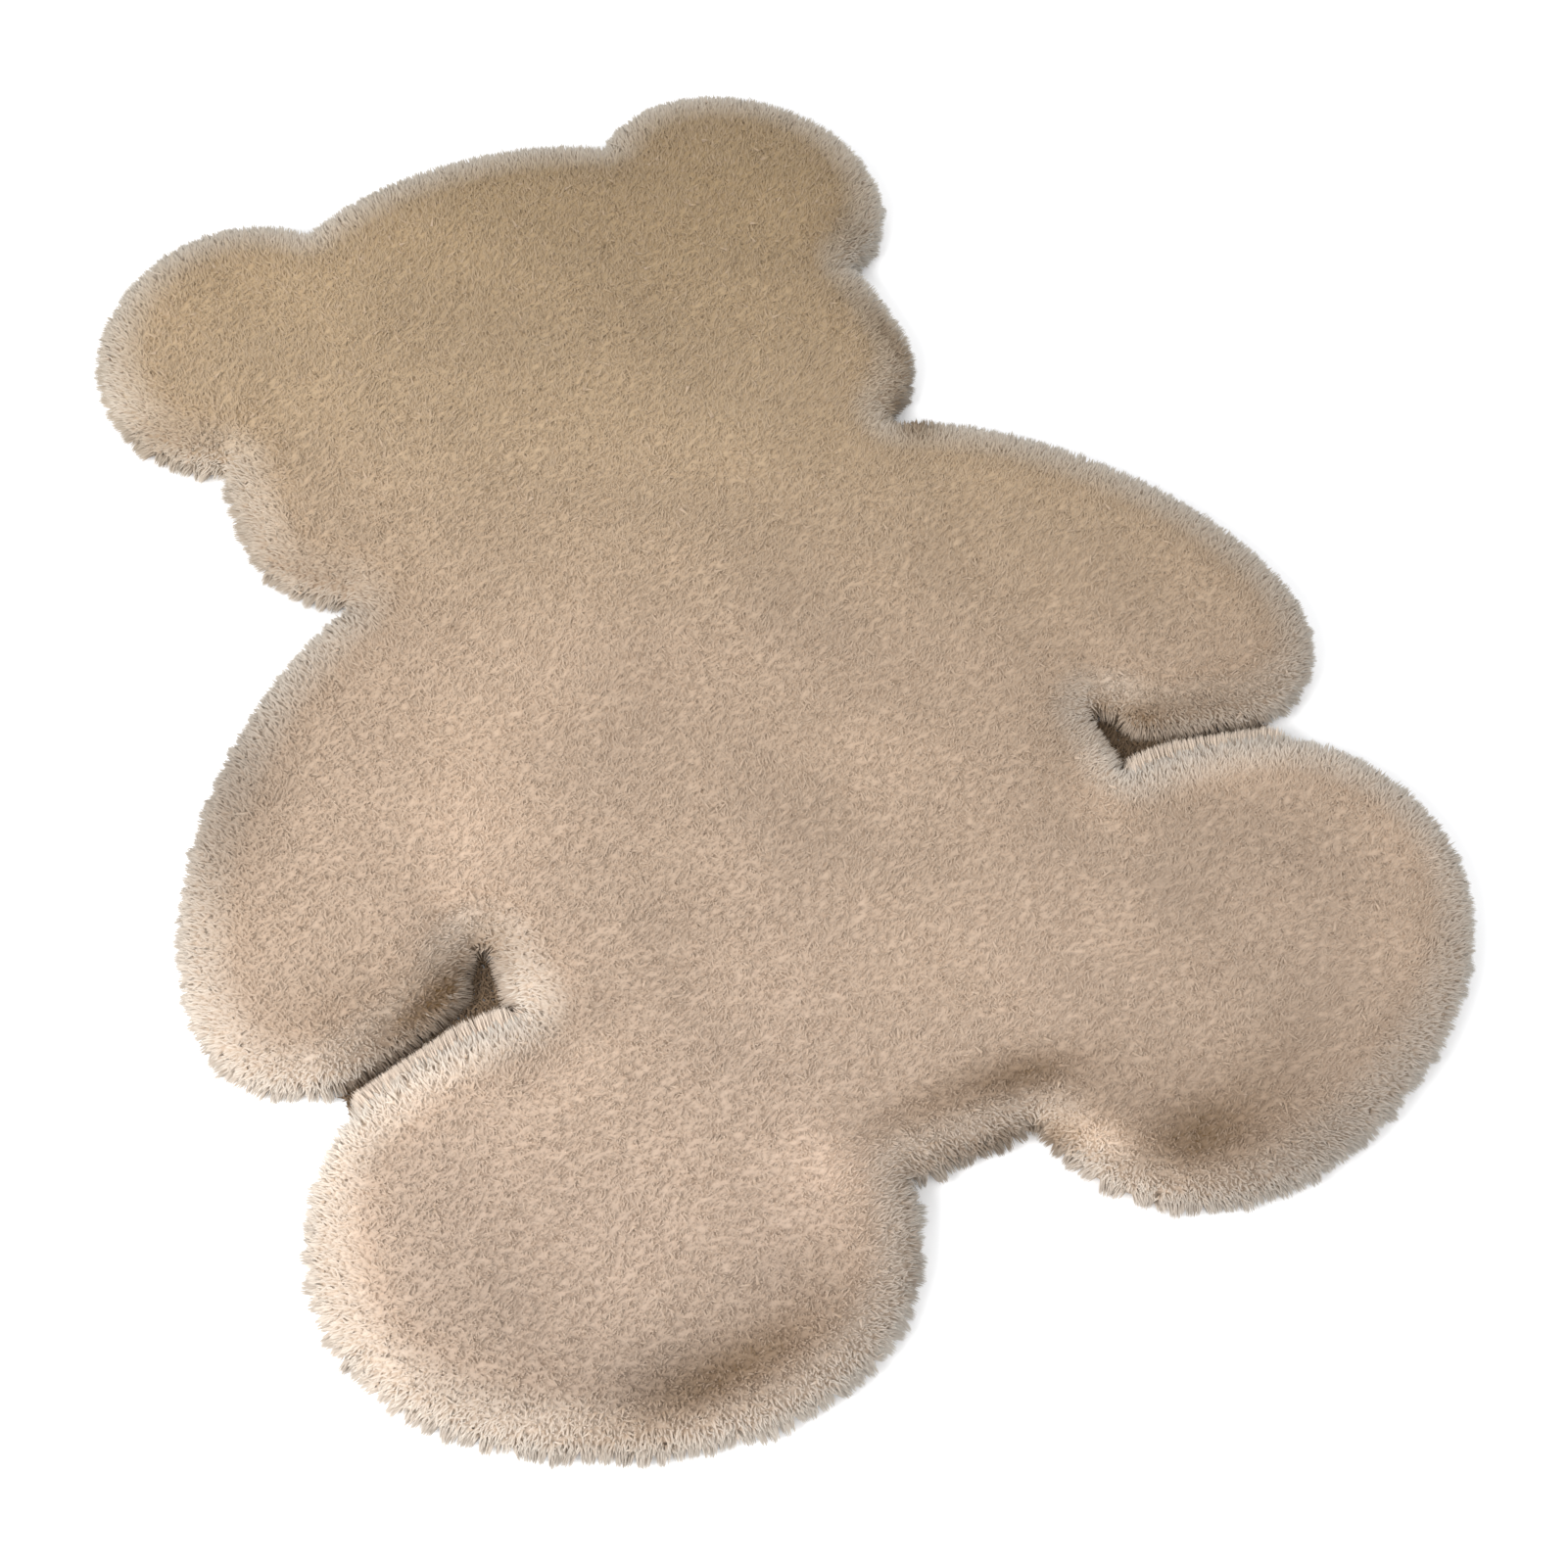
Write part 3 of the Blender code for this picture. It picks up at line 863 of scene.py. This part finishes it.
def growRim(settings):
    # A strand's place is how far round the rim it is and its tier. Its path is walked back from
    # the tip in even steps, turning upwards by its share of the bend, and its tip slides along
    # the rim towards the middle of its lock.
    rng = np.random.default_rng(settings["seed"])
    count = int(settings["perMetre"] * rimLength)
    meeting, directions = settings["meeting"], outwardOf(outline)
    narrow = freeWay(outline, directions, meeting["far"])
    level = np.abs(outline[:, 1] - meeting["y"]) < meeting["tall"]
    narrow = np.where(level, narrow, meeting["far"])
    filled = np.clip((meeting["reach"] - np.abs(outline[:, 0])) / meeting["fade"], 0, 1)
    filled *= np.clip((meeting["widest"] - narrow) / meeting["narrowing"], 0, 1)
    weights = filled * (directions[:, 1] > meeting["legUp"])
    denser = rng.choice(len(outline), meeting["more"], p=weights / weights.sum())
    denser = (denser + rng.uniform(0, 1, meeting["more"])) / len(outline) * rimLength
    along = np.sort(np.concatenate([rng.uniform(0, rimLength, count), denser]))
    count = along.size
    tier = rng.uniform(0, 1, count) ** settings["tierPower"]
    spread = settings["pitchSpread"]
    locks = round(rimLength / settings["pitch"])
    gaps = rng.uniform(1 - spread, 1 + spread, locks)
    middles = np.cumsum(gaps) / gaps.sum() * rimLength
    edges = np.concatenate([[0], (middles[1:] + middles[:-1]) / 2, [rimLength]])
    lock = np.clip(np.searchsorted(edges, along) - 1, 0, locks - 1)
    half = (edges[lock + 1] - edges[lock]) / 2
    aside = np.clip((along - middles[lock]) / half, -1, 1)
    lockReach = rng.uniform(settings["least"], settings["reach"], locks)
    lockSway = rng.normal(0, settings["sway"], locks)[lock]
    lockTone = rng.normal(0, settings["lockTone"], locks)[lock]

    at = along / rimLength * len(outline)
    index = np.floor(at).astype(int) % len(outline)
    share = (at - np.floor(at))[:, None]
    ahead = (index + 1) % len(outline)
    foot = outline[index] * (1 - share) + outline[ahead] * share
    outward = unit(directions[index] * (1 - share) + directions[ahead] * share)
    sideways = np.stack([outward[:, 1], -outward[:, 0]], axis=1)

    filled, narrow = filled[index], narrow[index]
    legSide = outward[:, 1] > meeting["legUp"]
    armSide = ~legSide & (np.sign(foot[:, 0]) * outward[:, 0] < meeting["armAside"])
    fromLeg, fromArm = meeting["legShare"] * narrow + meeting["over"], meeting["armShare"] * narrow
    across = filled * np.clip(np.where(legSide, fromLeg, fromArm), 0, meeting["most"])
    across = across * rng.uniform(*meeting["acrossRange"], count)
    armFalls = np.where(foot[:, 0] > 0, meeting["fallRight"], meeting["fallLeft"])
    falls = np.where(armSide, armFalls, meeting["fallLeg"])

    tipHeight, tipOut, tipAngle = (
        np.interp(tier, settings["tier"], settings[key])
        for key in ("tipHeight", "tipOut", "tipAngle")
    )
    height = tipHeight * rng.uniform(*settings["heightRange"], count)
    fullness = np.exp(-(((tier - settings["fullTier"]) / settings["fullWidth"]) ** 2))
    fullness = settings["fullLeast"] + (1 - settings["fullLeast"]) * fullness
    out = tipOut + lockReach[lock] * (1 - filled) * np.sqrt(1 - aside ** 2) * fullness
    out += across + rng.normal(0, settings["outSpread"], count)
    pull = -aside * half * settings["draw"] * (1 - settings["drawHigh"] * tier) * (1 - filled)
    pull += lockSway * (1 - meeting["calmer"] * filled)
    angle = np.radians(tipAngle + rng.normal(0, settings["angleSpread"], count))
    length = rng.uniform(*settings["length"], count) + across * meeting["longer"]
    rings = settings["rings"]
    points = [np.stack([out, height], axis=1)]
    for number in range(rings - 1):
        turn = angle + math.radians(settings["bend"]) * (number + 0.5) / (rings - 1)
        step = np.stack([np.cos(turn), np.sin(turn)], axis=1) * (length / (rings - 1))[:, None]
        points.append(points[-1] - step)
    profile = np.stack(points[::-1], axis=1)
    slide = (pull[:, None] * np.linspace(0, 1, rings) ** settings["drawPower"])[..., None]
    flat = foot[:, None] + outward[:, None] * profile[..., :1] + sideways[:, None] * slide
    z = np.maximum(profile[..., 1:], settings["foot"])
    paths = np.concatenate([flat, z], axis=2)
    widths = settings["width"] * np.linspace(1, settings["taper"], rings - 1)
    widths = widths * rng.uniform(*settings["widthRange"], (count, 1))
    widths *= 1 + meeting["wider"] * (filled * legSide)[:, None]
    flat = np.cos(angle) * (1 - meeting["skyward"] * filled * legSide)
    rise = np.sin(angle) + settings["upward"]
    normal = unit(np.concatenate([outward * flat[:, None], rise[:, None]], axis=1))

    tone = np.clip(lockTone + rng.normal(0, settings["ownTone"], count), *settings["toneRange"])
    tone = 1 + settings["toneSpread"] * tone - settings["litSide"] * np.clip(-outward[:, 0], 0, 1)
    # Lighter in the places of painted light, darker in those of painted shade.
    tone += tufts["paintedLight"] * strengthOf(paintedLightPlaces, foot[:, 0], foot[:, 1])
    # Painted light on the leg's side of a slit.
    tone += meeting["lighter"] * filled * legSide
    # Paler tips and painted highlight, more on the rims that face right as painted light.
    pale = rng.uniform(*settings["paleRange"], count) * (1 - meeting["lessPale"] * filled)
    pale = pale * (settings["pale"] + outward @ np.array(settings["paleSide"]))
    # Painted shade on the low strands in a slit and in the partings.
    low = filled * np.clip(1 - tier * falls, 0, 1) * meeting["partedShade"]
    here = strengthOf(shadedPartings, foot[:, 0], foot[:, 1])
    here = here * np.where(filled > meeting["within"], meeting["shadedPartings"], 1.0)
    values = dict(tone=tone, pale=pale, partedShade=np.maximum(low, here))
    spin = rng.uniform(0, settings["spin"], count)
    made = growPieces(settings, paths, widths, spin, normal, values)
    print("rim grown,", count, "strands in", locks, "locks")
    return made


rimWork = growRim(rimFur)

# Short fur in the slits, painted dark as the shade deep in them, seen between the rims that
# meet there
creaseFur = dict(
    pitch=0.0013, tall=(0.004, 0.009), foot=0.0015, lean=0.35, width=0.0011,
    margin=0.006,  # of the net round a slit's box
    # a strand stands where the slit is, or is this far away, for more than this share
    spread=(
        (0, 0), (0, 0.002), (0, -0.002), (0, 0.004), (0, -0.004), (0.003, 0), (-0.003, 0),
    ),
    share=0.4,
    # darker tone and the parted colour: painted shade in the slit
    toneRange=(0.55, 1.0), partedShadeRange=(0.75, 1),
    seed=23,
)


def growCrease(settings):
    # Points at random on a fine net where the slit is; each strand stands up and leans a little.
    rng = np.random.default_rng(settings["seed"])
    pitch, margin = settings["pitch"], settings["margin"]
    x, y = np.meshgrid(
        np.arange(slit["across"][0] - margin, slit["across"][1], pitch),
        np.arange(slit["up"][0] - margin, slit["up"][1], pitch),
    )
    x, y = np.concatenate([x.ravel(), -x.ravel()]), np.concatenate([y.ravel(), y.ravel()])
    x, y = (side + rng.uniform(-0.5, 0.5, side.size) * pitch for side in (x, y))
    near = [read(slitNet, x + stepX, y + stepY) for stepX, stepY in settings["spread"]]
    keep = np.max(near, axis=0) > settings["share"]
    x, y = x[keep], y[keep]
    count = x.size
    root = np.stack([x, y, np.full(count, settings["foot"])], axis=1)
    heading = unit(np.array([0, 0, 1]) + rng.normal(0, settings["lean"], (count, 3)))
    heading[:, 2] = np.abs(heading[:, 2])
    tip = root + heading * rng.uniform(*settings["tall"], count)[:, None]
    values = dict(
        tone=rng.uniform(*settings["toneRange"], count),
        pale=np.zeros(count),
        partedShade=rng.uniform(*settings["partedShadeRange"], count),
    )
    paths, widths = np.stack([root, tip], axis=1), np.full((count, 1), settings["width"])
    spin, up = rng.uniform(0, 2 * math.pi, count), np.tile([0.0, 0.0, 1.0], (count, 1))
    made = strandMesh("crease_fur", paths, widths, spin, up, values, fur)
    print("crease grown,", count, "strands")
    return made


creaseWork = growCrease(creaseFur)

# Undercoat: the dense ground of the pile, which closes the view between the tufts
ground = dict(
    step=0.0060, below=0.0038, inset=0.0100, foot=0.0010,
    least=0.3,  # how far past the inset a cell's middle lies at the least, in steps
    rounds=4,  # of moving the edge out to the inset rim
    rollInset=0.4,  # how much of the inset its roll follows
    crease=50,  # degrees over which an edge is sharp
    shade=0.85, rimShade=0.60, rimWidth=0.012,  # it darkens to rimShade where it ends at the rim
    rimPale=0.3,  # share of the pale tips where it ends
)


def layUndercoat(settings):
    # The cells of a square net whose middles lie inside the inset rim. Corners at the edge are
    # moved out to the rim along the way of the depth; the height is the pile's less its cover.
    step = settings["step"]
    columns = np.arange(-plan["across"], plan["across"], step)
    rows = np.arange(-plan["up"], plan["up"], step)
    x, y = np.meshgrid(columns, rows)
    shape = x.shape
    cellX, cellY = x[:-1, :-1] + step / 2, y[:-1, :-1] + step / 2
    cells = read(depthNet, cellX, cellY) - settings["inset"] > settings["least"] * step
    touch = np.zeros(shape, dtype=int)
    for j, i in ((0, 0), (0, 1), (1, 0), (1, 1)):
        touch[j:shape[0] - 1 + j, i:shape[1] - 1 + i] += cells
    rim = (touch > 0) & (touch < 4)
    for _ in range(settings["rounds"]):
        off = np.where(rim, read(depthNet, x, y) - settings["inset"], 0)
        x = x + read(outwardXNet, x, y) * off
        y = y + read(outwardYNet, x, y) * off
    depth = read(depthNet, x, y) - settings["inset"] * settings["rollInset"]
    z = surfaceHeight(np.maximum(depth, 0), read(extraNet, x, y)) - settings["below"]
    index = np.cumsum(touch.ravel() > 0).reshape(shape) - 1
    used = touch > 0
    points = np.stack([x[used], y[used], z[used]], axis=1)
    corners = [index[:-1, :-1], index[:-1, 1:], index[1:, 1:], index[1:, :-1]]
    quads = np.stack([corner[cells] for corner in corners], axis=1)
    mesh = bpy.data.meshes.new("undercoat")
    mesh.from_pydata(points.tolist(), [], quads.tolist())
    bm = bmesh.new()
    bm.from_mesh(mesh)
    edges = [edge for edge in bm.edges if edge.is_boundary]
    walls = bmesh.ops.extrude_edge_only(bm, edges=edges)["geom"]
    for vert in (item for item in walls if isinstance(item, bmesh.types.BMVert)):
        vert.co.z = settings["foot"]
    lowEdges = [item for item in walls if isinstance(item, bmesh.types.BMEdge)]
    bmesh.ops.contextual_create(bm, geom=lowEdges)
    bmesh.ops.triangulate(bm, faces=bm.faces)
    bmesh.ops.recalc_face_normals(bm, faces=bm.faces)
    bm.to_mesh(mesh)
    bm.free()
    mesh.shade_smooth()
    mesh.set_sharp_from_angle(angle=math.radians(settings["crease"]))
    where = np.empty(len(mesh.vertices) * 3)
    mesh.vertices.foreach_get("co", where)
    x, y, _ = where.reshape(-1, 3).T
    inside = np.clip((read(depthNet, x, y) - settings["inset"]) / settings["rimWidth"], 0, 1)
    # tone holds painted light and shade, pale the pale tips and painted highlight, parted the
    # painted shade of the partings
    writeLayers(mesh, dict(
        shade=settings["rimShade"] + (settings["shade"] - settings["rimShade"]) * inside,
        tone=1 + tufts["paintedLight"] * read(paintedLightNet, x, y),
        pale=paleShare(tufts, x, y) * (settings["rimPale"] + (1 - settings["rimPale"]) * inside),
        partedShade=read(partingShadeNet, x, y),
    ))
    return place("undercoat", mesh, undercoat)


undercoatWork = layUndercoat(ground)

# Backing: the cloth that the pile stands in, cut to the outline, flat on the floor
backing = dict(
    inset=0.012, thick=0.0015,
    every=3,  # of the outline's points
    size=(0.757, 0.900), area=0.53,  # of the flat sheet
)


def layBacking(settings):
    # The outline moved in, as one face at the floor and one at the cloth's thickness over it.
    line = (outline - outwardOf(outline) * settings["inset"])[::settings["every"]]
    bm = bmesh.new()
    face = bm.faces.new([bm.verts.new((x, y, 0)) for x, y in line])
    raised = bmesh.ops.extrude_face_region(bm, geom=[face])["geom"]
    for vert in (item for item in raised if isinstance(item, bmesh.types.BMVert)):
        vert.co.z = settings["thick"]
    bmesh.ops.triangulate(bm, faces=bm.faces)
    bmesh.ops.recalc_face_normals(bm, faces=bm.faces)
    mesh = bpy.data.meshes.new("backing")
    bm.to_mesh(mesh)
    bm.free()
    return place("backing", mesh, backingCloth)


backingWork = layBacking(backing)
print("backing laid")

# Floor and light
studio = dict(
    floor=(0.96, 0.96, 0.96, 1), floorSize=12.0, floorRoughness=0.8,
    world=(0.97, 0.98, 1.0, 1), worldStrength=0.66,
    key=dict(
        aim=(-0.05, -0.25, 0.0), toward=(-0.93, -0.10), rise=40, away=1.75, size=0.9, power=34,
    ),
    back=dict(aim=(0.05, 0.10, 0.0), toward=(0.60, 0.80), rise=28, away=2.0, size=1.6, power=15),
    fill=dict(
        aim=(0.0, -0.20, 0.0), toward=(-0.10, -0.95), rise=60, away=2.4, size=2.2, power=26,
    ),
)


def addFloor(settings):
    # One square face at z = 0.
    half = settings["floorSize"] / 2
    mesh = bpy.data.meshes.new("floor")
    corners = [(-half, -half, 0), (half, -half, 0), (half, half, 0), (-half, half, 0)]
    mesh.from_pydata(corners, [], [(0, 1, 2, 3)])
    finish = Finish("floor", settings["floorRoughness"], 0.0, (1, 1, 1, 1))
    finish.shader.inputs["Base Color"].default_value = settings["floor"]
    mesh.materials.append(finish.material)
    made = bpy.data.objects.new("floor", mesh)
    bpy.context.scene.collection.objects.link(made)


def addSoftbox(name, light):
    # It stands away from its aim along (toward cos r, sin r), with r the rise, and looks at it.
    aim = Vector(light["aim"])
    rise = math.radians(light["rise"])
    flat = Vector((*light["toward"], 0)).normalized() * math.cos(rise)
    made = bpy.data.objects.new(name, bpy.data.lights.new(name, "AREA"))
    made.data.size = light["size"]
    made.data.energy = light["power"]
    made.location = aim + (flat + Vector((0, 0, math.sin(rise)))) * light["away"]
    made.rotation_euler = (aim - made.location).to_track_quat("-Z", "Y").to_euler()
    bpy.context.scene.collection.objects.link(made)


def addWorld(settings):
    # One even light from all round.
    world = bpy.data.worlds.new("studio")
    world.use_nodes = True
    world.node_tree.nodes["Background"].inputs["Color"].default_value = settings["world"]
    world.node_tree.nodes["Background"].inputs["Strength"].default_value = settings["worldStrength"]
    bpy.context.scene.world = world


addFloor(studio)
for lightName in ("key", "fill", "back"):
    addSoftbox(lightName, studio[lightName])
addWorld(studio)
bpy.context.scene.view_settings.view_transform = "Standard"
print("studio lit")
